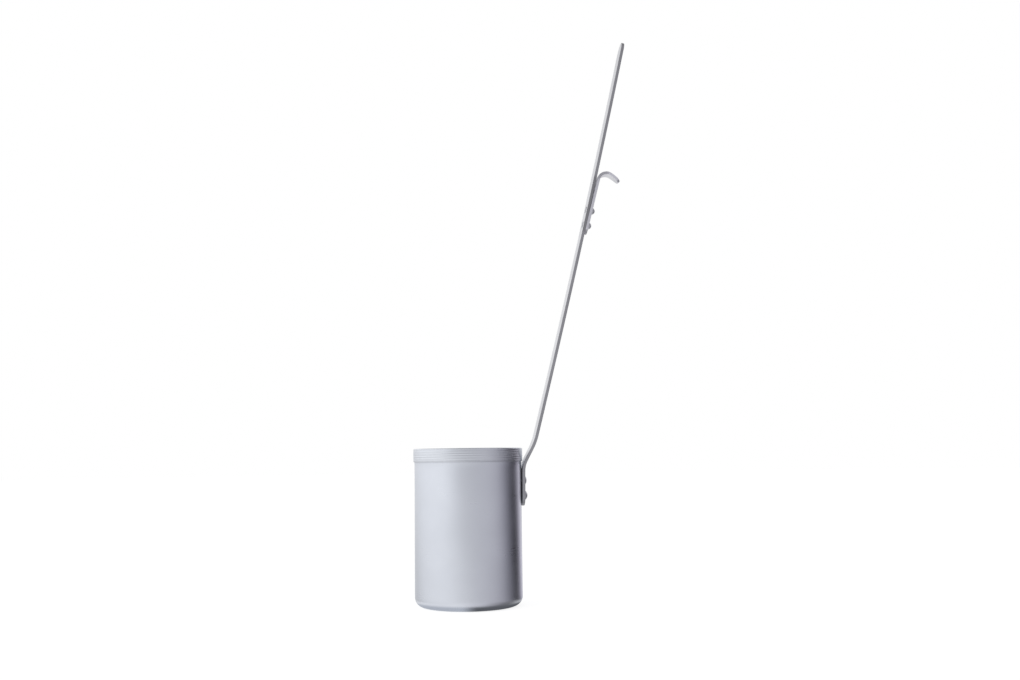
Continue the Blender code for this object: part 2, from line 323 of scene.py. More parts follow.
def wire_grime_and_shade(graph: Graph, given: dict[str, Socket]) -> dict[str, Socket]:
    """Wire the darkening round a piece on the surface: settled dirt, and painted shade where parts meet.

    Args:
        graph: The group's graph.
        given: Place; the seated piece's Centre, Half size and corner Radius; and how far
        the darkening Reaches from it. All in metres.

    Returns:
        Mask, 1 under the piece, fading with distance from its outline.
    """
    offset = graph.vector("SUBTRACT", given["Place"], given["Centre"])
    past_core = graph.vector("SUBTRACT", graph.vector("ABSOLUTE", offset), given["Half"])
    from_core = graph.vector("LENGTH", graph.vector("MAXIMUM", past_core, (0.0, 0.0, 0.0)))
    distance = graph.math("SUBTRACT", from_core, given["Radius"])
    reach = ragged_reach(graph, given, grain=900.0, least=0.4, most=1.5)
    return {"Mask": graph.spread(graph.math("DIVIDE", distance, reach), 1.0, 0.0)}


LINE_GRAIN = Effect(
    "line_grain",
    {"Across": VALUE_SOCKET, "Place": VECTOR_SOCKET, "Pitch": VALUE_SOCKET, "Run": VALUE_SOCKET},
    ("Height", "Tone"), wire_line_grain)
CLOUDING = Effect(
    "clouding", {"Place": VECTOR_SOCKET, "Size": VALUE_SOCKET}, ("Tone", "Spots"), wire_clouding)
SCRATCHES = Effect(
    "scratches", {"Place": VECTOR_SOCKET, "Length": VALUE_SOCKET}, ("Mask",), wire_scratches)
RUBBED_EDGE = Effect(
    "rubbed_edge", {"Distance": VALUE_SOCKET, "Reach": VALUE_SOCKET, "Place": VECTOR_SOCKET},
    ("Mask",), wire_rubbed_edge)
GRIME_AND_SHADE = Effect(
    "grime_and_painted_shade",
    {"Place": VECTOR_SOCKET, "Centre": VECTOR_SOCKET, "Half": VECTOR_SOCKET, "Radius": VALUE_SOCKET,
     "Reach": VALUE_SOCKET},
    ("Mask",), wire_grime_and_shade)


@dataclass(frozen=True)
class Seat:
    """The outline of a piece on a surface, round which it darkens: dirt at some seats, painted shade at
    others.

    Attributes:
        centre: Its centre, in the surface's own coordinates.
        half: Half the size of its core, which has square ends.
        radius: How far its outline lies from that core.
        reach: How far the darkening reaches from its outline.
        strength: How dark it is, from 0 to 1.
    """

    centre: Place
    half: Place
    radius: float
    reach: float = 0.0006
    strength: float = 0.8


@dataclass(frozen=True)
class Finish:
    """Bare aluminium, with the marks of one way of working it.

    Attributes:
        name: The material's name.
        tint: Colour of the clean metal.
        dull: Colour of its clouds and spots.
        roughness: Roughness of the clean metal.
        grain: Which way its lines run.
        pitch: Distance from one line to the next, in metres.
        depth: Depth of the lines, in metres.
        run: How far a line runs before it fades, in metres.
        cloud_size: Size of the clouds, in metres.
        line_tone: How much the lines change the roughness.
        scratch_length: Length of the scratches, in metres.
        wear: How strong its spots and scratches are, from 0 to 1.
        edge_height: Height of an edge that is rubbed bright, in metres, or None.
        seats: Outlines of the pieces that lie on it.
        CLOUD_SHARE: How far a cloud goes towards the dull colour.
        DULL_ROUGHNESS: What the dull colour adds to the roughness.
        SCRATCH_POLISH: What a scratch takes from the roughness.
        SCRATCH_DEPTH: How deep a scratch is, as a share of the lines' depth.
        EDGE_REACH: How far a rubbed edge's brightness reaches, in metres.
        EDGE_POLISH: What rubbing takes from the roughness.
        SEAT_ROUGHNESS: What a seat's full darkening adds to the roughness.
    """

    CLOUD_SHARE: ClassVar[float] = 0.55
    DULL_ROUGHNESS: ClassVar[float] = 0.07
    SCRATCH_POLISH: ClassVar[float] = 0.06
    SCRATCH_DEPTH: ClassVar[float] = 0.8
    EDGE_REACH: ClassVar[float] = 0.0012
    EDGE_POLISH: ClassVar[float] = 0.12
    SEAT_ROUGHNESS: ClassVar[float] = 0.19

    name: str
    tint: tuple[float, float, float]
    dull: tuple[float, float, float]
    roughness: float
    grain: Grain
    pitch: float
    depth: float
    run: float = 0.06
    cloud_size: float = 0.028
    line_tone: float = 0.10
    scratch_length: float = 0.009
    wear: float = 1.0
    edge_height: float | None = None
    seats: tuple[Seat, ...] = ()

    def coordinates(self, graph: Graph) -> tuple[Socket, Socket]:
        """Read the surface's coordinates.

        Args:
            graph: The material's graph.

        Returns:
            The place on the metal, and the distance across the grain's lines.
        """
        if self.grain is Grain.DRAWN:
            place = graph.node("ShaderNodeUVMap", uv_map=BLANK_UV).outputs["UV"]
            return place, graph.node("ShaderNodeSeparateXYZ", {0: place}).outputs["Y"]
        place = graph.node("ShaderNodeTexCoord").outputs["Object"]
        axes = graph.node("ShaderNodeSeparateXYZ", {0: place}).outputs
        if self.grain is Grain.FACED:
            squares = [graph.math("POWER", axes[name], 2.0) for name in ("X", "Y")]
            return place, graph.math("SQRT", graph.math("ADD", *squares))
        return place, axes["Z"]

    def material(self) -> bpy.types.Material:
        """Build the finish's material on first use.

        Returns:
            The material.
        """
        if self.name in bpy.data.materials:
            return bpy.data.materials[self.name]
        made = bpy.data.materials.new(self.name)
        made.use_nodes = True
        graph = Graph(made.node_tree)
        shader = made.node_tree.nodes["Principled BSDF"]
        shader.inputs["Metallic"].default_value = 1.0
        place, across = self.coordinates(graph)
        lines = LINE_GRAIN.use(
            graph, {"Across": across, "Place": place, "Pitch": self.pitch, "Run": self.run})
        clouds = CLOUDING.use(graph, {"Place": place, "Size": self.cloud_size})
        scratches = SCRATCHES.use(graph, {"Place": place, "Length": self.scratch_length})
        tone = graph.math("MULTIPLY", clouds["Tone"], self.CLOUD_SHARE)
        tone = graph.math("MAXIMUM", tone, graph.math("MULTIPLY", clouds["Spots"], self.wear))
        colour = graph.mix(tone, (*self.tint, 1.0), (*self.dull, 1.0))
        rough = graph.math("MULTIPLY_ADD", lines["Tone"], self.line_tone, self.roughness)
        rough = graph.math("MULTIPLY_ADD", tone, self.DULL_ROUGHNESS, rough)
        rough = graph.math("MULTIPLY_ADD", scratches["Mask"], -self.SCRATCH_POLISH * self.wear, rough)
        if self.edge_height is not None:
            distance = graph.math("SUBTRACT", across, self.edge_height)
            inputs = {"Distance": distance, "Reach": self.EDGE_REACH, "Place": place}
            worn = RUBBED_EDGE.use(graph, inputs)["Mask"]
            rough = graph.math("MULTIPLY_ADD", worn, -self.EDGE_POLISH, rough)
        for seat in self.seats:
            inputs = {
                "Place": place, "Centre": seat.centre, "Half": seat.half, "Radius": seat.radius,
                "Reach": seat.reach}
            # Each seat darkens the colour: dirt at some, painted shade where parts meet at others.
            dirt_and_shade = GRIME_AND_SHADE.use(graph, inputs)["Mask"]
            colour = graph.mix(graph.math("MULTIPLY", dirt_and_shade, seat.strength), colour, GRIME_AND_SHADE_COLOUR)
            rough = graph.math("MULTIPLY_ADD", dirt_and_shade, self.SEAT_ROUGHNESS * seat.strength, rough)
        scratch_depth = -self.SCRATCH_DEPTH * self.wear
        height = graph.math("MULTIPLY_ADD", scratches["Mask"], scratch_depth, lines["Height"])
        bump = graph.node("ShaderNodeBump", {"Height": height, "Distance": self.depth, "Strength": 1.0})
        for name, socket in (("Base Color", colour), ("Roughness", rough), ("Normal", bump.outputs[0])):
            made.node_tree.links.new(socket, shader.inputs[name])
        return made


CUP_RIVETS = ("cup_rivet_lower", "cup_rivet_upper")
HOOK_RIVETS = ("hook_rivet_lower", "hook_rivet_upper")


def middle_height(node: str) -> float:
    """Return the height of a solid's middle."""
    low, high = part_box(node)
    return (low[2] + high[2]) / 2


# Where the cup is darkened: painted shade round the handle's foot, painted shade with some
# dirt in the groove under the lip, and dirt round the inner heads.
FOOT_SHADE = Seat(
    centre=(0.049, 0.0, 0.1069), half=(0.02, 0.0, 0.008), radius=0.0085, reach=0.0004, strength=0.45)
LIP_SHADE_AND_GRIME = Seat(
    centre=(0.0, 0.0, 0.13005), half=(0.06, 0.06, 0.0), radius=0.0003, reach=0.0011, strength=0.17)
INNER_HEAD_SEATS = tuple(
    Seat(centre=(0.048, 0.0, middle_height(node)), half=(0.02, 0.0, 0.0), radius=0.0044, reach=0.0009)
    for node in CUP_RIVETS)

CUP_WALL = Finish(
    "satin_wall", tint=(0.775, 0.807, 0.88), dull=(0.735, 0.766, 0.835), roughness=0.27,
    grain=Grain.TURNED, pitch=0.0009, depth=0.0000012, cloud_size=0.035, line_tone=0.04, wear=0.2,
    seats=(FOOT_SHADE, LIP_SHADE_AND_GRIME))
CUP_INSIDE = Finish(
    "satin_inside", tint=(0.72, 0.75, 0.81), dull=(0.62, 0.65, 0.70), roughness=0.34,
    grain=Grain.TURNED, pitch=0.0012, depth=0.000004, cloud_size=0.018, seats=INNER_HEAD_SEATS)
CUP_BASE = Finish(
    "faced_base", tint=(0.74, 0.77, 0.82), dull=(0.62, 0.65, 0.70), roughness=0.30,
    grain=Grain.FACED, pitch=0.0016, depth=0.000012, scratch_length=0.014)
HEM_BAND = Finish(
    "turned_hem", tint=(0.775, 0.805, 0.865), dull=(0.71, 0.74, 0.80), roughness=0.27,
    grain=Grain.TURNED, pitch=0.0014, depth=0.000006, run=0.11, line_tone=0.12, wear=0.5,
    edge_height=0.1418, seats=(LIP_SHADE_AND_GRIME,))
STRIP_FACE = Finish(
    "rolled_strip", tint=(0.775, 0.78, 0.815), dull=(0.71, 0.715, 0.75), roughness=0.29,
    grain=Grain.DRAWN, pitch=0.0009, depth=0.0000008, run=0.09, line_tone=0.05, wear=0.4)
# The handle's edge: its dark tint is partly the sheared metal's dullness and partly painted shade.
HANDLE_EDGE_PAINTED_SHADE = Finish(
    "sheared_edge_painted_shade", tint=(0.46, 0.463, 0.49), dull=(0.40, 0.403, 0.425), roughness=0.38,
    grain=Grain.DRAWN, pitch=0.0006, depth=0.000002, run=0.02, line_tone=0.08)
# The hook's edge: the same strip metal, its bright tint is painted light.
HOOK_EDGE_PAINTED_LIGHT = Finish(
    "edge_painted_light", tint=(0.90, 0.905, 0.965), dull=(0.80, 0.805, 0.86), roughness=0.36,
    grain=Grain.DRAWN, pitch=0.0006, depth=0.000002, run=0.02, line_tone=0.08)
RIVET_HEAD = Finish(
    "struck_rivet", tint=(0.74, 0.75, 0.79), dull=(0.64, 0.65, 0.69), roughness=0.42,
    grain=Grain.STRUCK, pitch=0.0012, depth=0.000006, run=0.0012, cloud_size=0.004, scratch_length=0.003)
CUP_FINISHES = (CUP_WALL, CUP_INSIDE, CUP_BASE, HEM_BAND)


def arc(centre: Point2, radius: float, start: float, end: float, segments: int) -> list[Point2]:
    """Return points (r, z) on an arc, whose start and end are degrees from +r towards +z."""
    angles = [math.radians(start + (end - start) * step / segments) for step in range(segments + 1)]
    return [(centre[0] + radius * math.cos(a), centre[1] + radius * math.sin(a)) for a in angles]


def line(start: Point2, end: Point2, spacing: float) -> list[Point2]:
    """Divide a straight line.

    Args:
        start: Where the line starts (r, z).
        end: Where it ends.
        spacing: The most that one point lies from the next.

    Returns:
        The points between the two ends, both left out.
    """
    count = max(1, math.ceil(math.dist(start, end) / spacing))
    shares = [step / count for step in range(1, count)]
    return [tuple(a + (b - a) * share for a, b in zip(start, end)) for share in shares]


def new_piece(name: str, mesh: bpy.types.Mesh, finishes: Iterable[Finish]) -> bpy.types.Object:
    """Put a mesh in the scene, with its finishes.

    Args:
        name: The object's name.
        mesh: Its mesh.
        finishes: One finish for each material slot.

    Returns:
        The new object.
    """
    mesh.name = name
    for finish in finishes:
        mesh.materials.append(finish.material())
    item = bpy.data.objects.new(name, mesh)
    bpy.context.scene.collection.objects.link(item)
    return item


def apply_modifiers(item: bpy.types.Object) -> None:
    """Replace an object's mesh by its evaluated one.

    Args:
        item: The object, whose modifiers are cleared.
    """
    graph = bpy.context.evaluated_depsgraph_get()
    mesh = bpy.data.meshes.new_from_object(item.evaluated_get(graph))
    item.modifiers.clear()
    item.data = mesh


def turn(name: str, profile: Sequence[Point2], steps: int) -> bpy.types.Mesh:
    """Turn a profile about Z.

    Args:
        name: The mesh's name.
        profile: Points (r, z) that run down the outer side.
        steps: How many steps the turn has.

    Returns:
        The turned mesh, smooth but for its corners.
    """
    mesh = bpy.data.meshes.new(name)
    edges = [(step, step + 1) for step in range(len(profile) - 1)]
    mesh.from_pydata([(r, 0.0, z) for r, z in profile], edges, [])
    guide = bpy.data.objects.new(name, mesh)
    bpy.context.scene.collection.objects.link(guide)
    screw = guide.modifiers.new("turn", "SCREW")
    screw.steps = screw.render_steps = steps
    screw.use_merge_vertices = True
    screw.merge_threshold = MERGE_DISTANCE
    apply_modifiers(guide)
    turned = guide.data
    bpy.data.objects.remove(guide, do_unlink=True)
    turned.shade_smooth()
    turned.set_sharp_from_angle(angle=SHARP_ANGLE)
    return turned


@dataclass
class StripPath:
    """The path of a bent strip's outer face, from its lower end to its tip.

    Attributes:
        start: The lower end (x, z, lean); the lean is an angle from +Z towards +X.
        moves: Each move's length, turn and number of rows.
    """

    start: Place
    moves: Sequence[Move]

    @property
    def length(self) -> float:
        """The whole path's length."""
        return sum(move[0] for move in self.moves)

    def at(self, distance: float) -> Place:
        """Follow the path for a distance.

        Args:
            distance: Metres from the lower end.

        Returns:
            The place there (x, z, lean).
        """
        x, z, lean = self.start
        for length, turning, _ in self.moves:
            step = min(distance, length)
            part = turning * step / length
            chord = step * math.sin(part / 2) / (part / 2) if part else step
            x += chord * math.sin(lean + part / 2)
            z += chord * math.cos(lean + part / 2)
            lean += part
            distance -= step
            if distance <= 0:
                break
        return x, z, lean

    def rows(self) -> list[float]:
        """Divide each move into its rows.

        Returns:
            The distances at which the strip has a row across it.
        """
        distances = [0.0]
        for length, _, rows in self.moves:
            begin = distances[-1]
            distances += [begin + length * step / rows for step in range(1, rows + 1)]
        return distances

    @staticmethod
    def outward(place: Place) -> Point2:
        """Return the unit vector (x, z) out of the strip's outer face, at a place on its path."""
        return math.cos(place[2]), -math.sin(place[2])


@dataclass
class Strip:
    """A flat blank with round ends, bent along its path.

    Attributes:
        name: The CAD node that it stands for.
        path: Where its outer face runs.
        width: Its width.
        tip_width: Its width at the round of its tip.
        taper_from: The distance at which it starts to narrow.
        thickness: Its thickness.
        edge_radius: The rounding of its edges.
        slot: The record's material slot.
        edge: Finish of its edge, whose tint carries painted shade on the handle and painted light on the
            hook.
        seats: Outlines of the pieces that lie on its faces, in the blank's coordinates.
        edge_seats: Stretches where its edge is darkened, in the same coordinates.
        end_segments: Segments on each round end.
        edge_resolution: Steps in each rounded edge.
    """

    name: str
    path: StripPath
    width: float
    tip_width: float
    taper_from: float
    thickness: float
    edge_radius: float
    slot: str
    edge: Finish
    seats: tuple[Seat, ...]
    edge_seats: tuple[Seat, ...]
    end_segments: int = 56
    edge_resolution: int = 4

    def outline(self) -> list[Point2]:
        """Draw the flat blank, whose sides narrow straight into the round of the tip.

        Returns:
            Points (distance, across) round it.
        """
        foot = self.width / 2
        tip = self.tip_width / 2
        length = self.path.length
        run = length - tip - self.taper_from
        taper = math.acos(tip / math.hypot(foot, run)) - math.atan2(run, foot)
        reach = 90.0 - math.degrees(taper)
        points = arc((foot, 0.0), foot, 90.0, 270.0, self.end_segments)
        points.append((self.taper_from, -foot))
        points += arc((length - tip, 0.0), tip, -reach, reach, self.end_segments)
        points.append((self.taper_from, foot))
        return points

    def blank(self) -> bpy.types.Mesh:
        """Cut the flat blank, with rounded edges.

        Returns:
            Its mesh, halved by the plane z = 0.
        """
        curve = bpy.data.curves.new(self.name, "CURVE")
        curve.dimensions = "2D"
        curve.fill_mode = "BOTH"
        curve.extrude = self.thickness / 2 - self.edge_radius
        curve.bevel_depth = self.edge_radius
        curve.bevel_resolution = self.edge_resolution
        curve.offset = -self.edge_radius
        spline = curve.splines.new("POLY")
        outline = self.outline()
        spline.points.add(len(outline) - 1)
        for point, (distance, across) in zip(spline.points, outline):
            point.co = (distance, across, 0.0, 1.0)
        spline.use_cyclic_u = True
        guide = bpy.data.objects.new(self.name, curve)
        mesh = bpy.data.meshes.new_from_object(guide)
        bpy.data.objects.remove(guide, do_unlink=True)
        return mesh

    def fold(self, mesh: bpy.types.Mesh) -> None:
        """Cut rows across the blank where it bends, and lay it along its path.

        Args:
            mesh: The flat blank, whose lower face becomes the outer face.
        """
        flat_normal = 0.97
        distances = self.path.rows()
        places = [self.path.at(distance) for distance in distances]
        builder = bmesh.new()
        builder.from_mesh(mesh)
        bmesh.ops.remove_doubles(builder, verts=builder.verts[:], dist=MERGE_DISTANCE)
        bmesh.ops.dissolve_limit(
            builder, angle_limit=FLAT_ANGLE, verts=builder.verts[:], edges=builder.edges[:])
        for distance in distances[1:-1]:
            bmesh.ops.bisect_plane(
                builder, geom=builder.verts[:] + builder.edges[:] + builder.faces[:],
                dist=MERGE_DISTANCE, plane_co=(distance, 0.0, 0.0), plane_no=(1.0, 0.0, 0.0))
        builder.normal_update()
        uv_map = builder.loops.layers.uv.new(BLANK_UV)
        for face in builder.faces:
            face.smooth = True
            face.material_index = 0 if abs(face.normal.z) > flat_normal else 1
            shift = INNER_FACE_SHIFT if face.normal.z > flat_normal else 0.0
            for loop in face.loops:
                flat = loop.vert.co
                loop[uv_map].uv = (flat.x, flat.y + flat.z * face.material_index + shift)
        for vertex in builder.verts:
            row = min(max(bisect.bisect_right(distances, vertex.co.x), 1), len(places) - 1)
            share = (vertex.co.x - distances[row - 1]) / (distances[row] - distances[row - 1])
            depth = vertex.co.z + self.thickness / 2
            x, z = 0.0, 0.0
            for place, weight in ((places[row - 1], 1.0 - share), (places[row], share)):
                normal = self.path.outward(place)
                x += weight * (place[0] - depth * normal[0])
                z += weight * (place[1] - depth * normal[1])
            vertex.co = (x, vertex.co.y, z)
        builder.to_mesh(mesh)
        builder.free()

    def build(self) -> bpy.types.Object:
        """Cut, bend and dress the strip.

        Returns:
            The bent strip.
        """
        mesh = self.blank()
        self.fold(mesh)
        face = replace(STRIP_FACE, name=f"{STRIP_FACE.name}_{self.name}", seats=self.seats)
        edge = replace(self.edge, seats=self.edge_seats)
        item = new_piece(self.name, mesh, (face, edge))
        item.modifiers.new("weigh", "WEIGHTED_NORMAL").mode = "FACE_AREA"
        apply_modifiers(item)
        return item


@dataclass
class Cup:
    """One drawn sheet: flat base, straight wall, and a hem folded outward.

    Attributes:
        radius: Outside radius of the wall.
        height: Height over all.
        wall: Thickness of the sheet.
        base: Thickness of the base.
        corner: Outside radius of the bottom corner.
        hem_height: How far down the fold reaches.
        hem_crown: How much the fold's face swells.
        lip: Rounding of the sheet's cut edge at the fold's foot.
        ripple: Half the depth of the turned rings on the hem's face.
        ring_pitch: Distance from one turned ring to the next.
        hem_rows: Rows of faces down the hem.
        wall_spacing: The most that one row of points lies from the next on the wall.
        base_spacing: The same on the base.
        waver: How far the wall strays from a true round.
        waver_grain: How many of its swells there are to a metre.
        waver_fade: How far below the hem it has come to its full strength.
        steps: Steps round the cup.
        slot: The record's material slot.
    """

    radius: float = 0.049
    height: float = 0.142
    wall: float = 0.0010
    base: float = 0.0015
    corner: float = 0.0086
    hem_height: float = 0.012
    hem_crown: float = 0.00011
    lip: float = 0.00022
    ripple: float = 0.00005
    ring_pitch: float = 0.0021
    hem_rows: int = 44
    wall_spacing: float = 0.003
    base_spacing: float = 0.002
    waver: float = 0.000035
    waver_grain: float = 38.0
    waver_fade: float = 0.01
    steps: int = 320
    slot: str = "cup_metal"

    @property
    def hem_foot(self) -> float:
        """Height of the fold's lower end."""
        return self.height - self.hem_height

    def hem_face(self, top: float, foot: float) -> list[Point2]:
        """Draw the fold's face, crowned and turned in shallow rings.

        Args:
            top: Height of the face's upper end.
            foot: Height of its lower end.

        Returns:
            Points (r, z) down the face, without its ends.
        """
        points = []
        for step in range(1, self.hem_rows):
            share = step / self.hem_rows
            z = top + (foot - top) * share
            fade = math.sin(math.pi * share)
            rings = math.cos(math.tau * (top - z) / self.ring_pitch) - 1.0
            bulge = self.hem_crown * fade + self.ripple * rings * fade ** 0.5
            points.append((self.radius + self.wall + bulge, z))
        return points

    def profile(self) -> list[Point2]:
        """Draw the cup's section.

        Returns:
            Points (r, z) up the inside, over the hem and down the outside.
        """
        inner = self.corner - self.wall
        centre = self.radius - self.corner
        inside = self.radius - self.wall
        fold_z = self.height - self.wall
        lip_z = self.hem_foot + self.lip
        lip_r = self.radius + self.wall - self.lip
        points = [(0.0, self.base)]
        points += line((0.0, self.base), (centre, self.base), self.base_spacing)
        points += arc((centre, self.base + inner), inner, -90.0, 0.0, segments=16)
        points += line((inside, self.base + inner), (inside, fold_z), self.wall_spacing)
        points += arc((self.radius, fold_z), self.wall, 180.0, 0.0, segments=18)
        points += self.hem_face(fold_z, lip_z)
        points += arc((lip_r, lip_z), self.lip, 0.0, -90.0, segments=6)
        points += line((lip_r, self.hem_foot), (self.radius, lip_z), spacing=0.0002)
        points += line((self.radius, lip_z), (self.radius, self.corner), self.wall_spacing)
        points += arc((centre, self.corner), self.corner, 0.0, -90.0, segments=20)
        points += line((centre, 0.0), (0.0, 0.0), self.base_spacing)
        points += [(0.0, 0.0)]
        return points

    def dress(self, mesh: bpy.types.Mesh) -> None:
        """Give each face of the cup its finish's slot.

        Args:
            mesh: The cup's mesh.
        """
        flat_normal = 0.999
        # Above the hem's foot, all but the wall's inner face is the fold's.
        wall_share = 0.9
        fold_side = self.radius - wall_share * self.wall
        for face in mesh.polygons:
            centre = face.center
            finish = CUP_WALL
            if abs(face.normal.z) > flat_normal:
                finish = CUP_BASE
            elif centre.z > self.hem_foot and math.hypot(centre.x, centre.y) > fold_side:
                finish = HEM_BAND
            elif face.normal.x * centre.x + face.normal.y * centre.y < 0.0:
                finish = CUP_INSIDE
            face.material_index = CUP_FINISHES.index(finish)

    def build(self) -> bpy.types.Object:
        """Turn the cup, let its wall stray a little from the round, and dress it.

        Returns:
            The cup.
        """
        mesh = turn("cup", self.profile(), self.steps)
        for vertex in mesh.vertices:
            reach = math.hypot(vertex.co.x, vertex.co.y)
            if reach > self.radius / 2 and vertex.co.z < self.hem_foot:
                swell = 0.5 + 0.5 * noise.noise(vertex.co * self.waver_grain)
                fade = min(1.0, vertex.co.z / self.corner, (self.hem_foot - vertex.co.z) / self.waver_fade)
                inward = self.waver * swell * fade / reach
                vertex.co.x -= inward * vertex.co.x
                vertex.co.y -= inward * vertex.co.y
        item = new_piece("cup_skin", mesh, CUP_FINISHES)
        self.dress(mesh)
        return item


@dataclass
class Rivet:
    """A solid rivet: round head outside, shank through its hole, low head inside.

    Attributes:
        name: The CAD node that it stands for.
        place: Where its axis meets the strip's outer face.
        stand: How far its outer head's seat stands off that face.
        head: Radius of both heads.
        shank: Radius of its shank.
        rise: Height of its outer head.
        inner_rise: Height of its inner head.
        grip: Distance between its two heads.
        dent: How deep the hammer's dents are, as a share of the distance from its origin.
        dent_grain: How many dents there are to a metre.
        steps: Steps round the rivet.
        slot: The record's material slot.
    """

    name: str
    place: Place
    stand: float
    head: float
    shank: float
    rise: float
    inner_rise: float
    grip: float
    dent: float = 0.011
    dent_grain: float = 620.0
    steps: int = 72
    slot: str = "rivet_metal"

    @staticmethod
    def dome(radius: float, rise: float) -> list[Point2]:
        """Draw a head, a part of a sphere on a short lip that tucks in.

        Args:
            radius: The head's radius.
            rise: Its height.

        Returns:
            Points (r, z) from its crown down to its rim, at z = 0.
        """
        # The lip's own points, as shares of the head's radius and of the lip's height.
        tuck = ((0.995, 0.35), (0.975, 0.0))
        lip = 0.12 * rise
        sphere = (radius ** 2 + (rise - lip) ** 2) / (2 * (rise - lip))
        reach = math.asin(min(1.0, radius / sphere))
        if rise - lip > radius:
            reach = math.pi - reach
        points = arc((0.0, rise - sphere), sphere, 90.0, 90.0 - math.degrees(reach), segments=20)
        points[0] = (0.0, rise)
        points += [(radius * across, lip * up) for across, up in tuck]
        return points

    def profile(self) -> list[Point2]:
        """Draw the rivet's section, with its outer head's seat at z = 0.

        Returns:
            Points (r, z) from the outer crown down to the inner one.
        """
        points = self.dome(self.head, self.rise)
        points += [(self.shank, 0.0), (self.shank, -self.grip)]
        points += [(r, -self.grip - z) for r, z in reversed(self.dome(self.head, self.inner_rise))]
        return points

    def build(self) -> bpy.types.Object:
        """Turn the rivet, dent its heads and set it square to its strip.

        Returns:
            The rivet.
        """
        mesh = turn(self.name, self.profile(), self.steps)
        # The foot of each head stays clean, and a rivet's height picks its own dents.
        clean_share, dents_by_height = 0.15, 900.0
        own_dents = Vector((self.place[1] * dents_by_height, 0.0, 0.0))
        for vertex in mesh.vertices:
            outer = vertex.co.z > self.rise * clean_share
            if outer or vertex.co.z < -self.grip - self.inner_rise * clean_share:
                dents = noise.noise(vertex.co * self.dent_grain + own_dents)
                vertex.co *= 1.0 - self.dent * abs(dents)
        normal = StripPath.outward(self.place)
        spot = Vector((self.place[0] + normal[0] * self.stand, 0.0, self.place[1] + normal[1] * self.stand))
        mesh.transform(Matrix.Translation(spot) @ Matrix.Rotation(math.pi / 2 + self.place[2], 4, "Y"))
        return new_piece(f"{self.name}_skin", mesh, (RIVET_HEAD,))


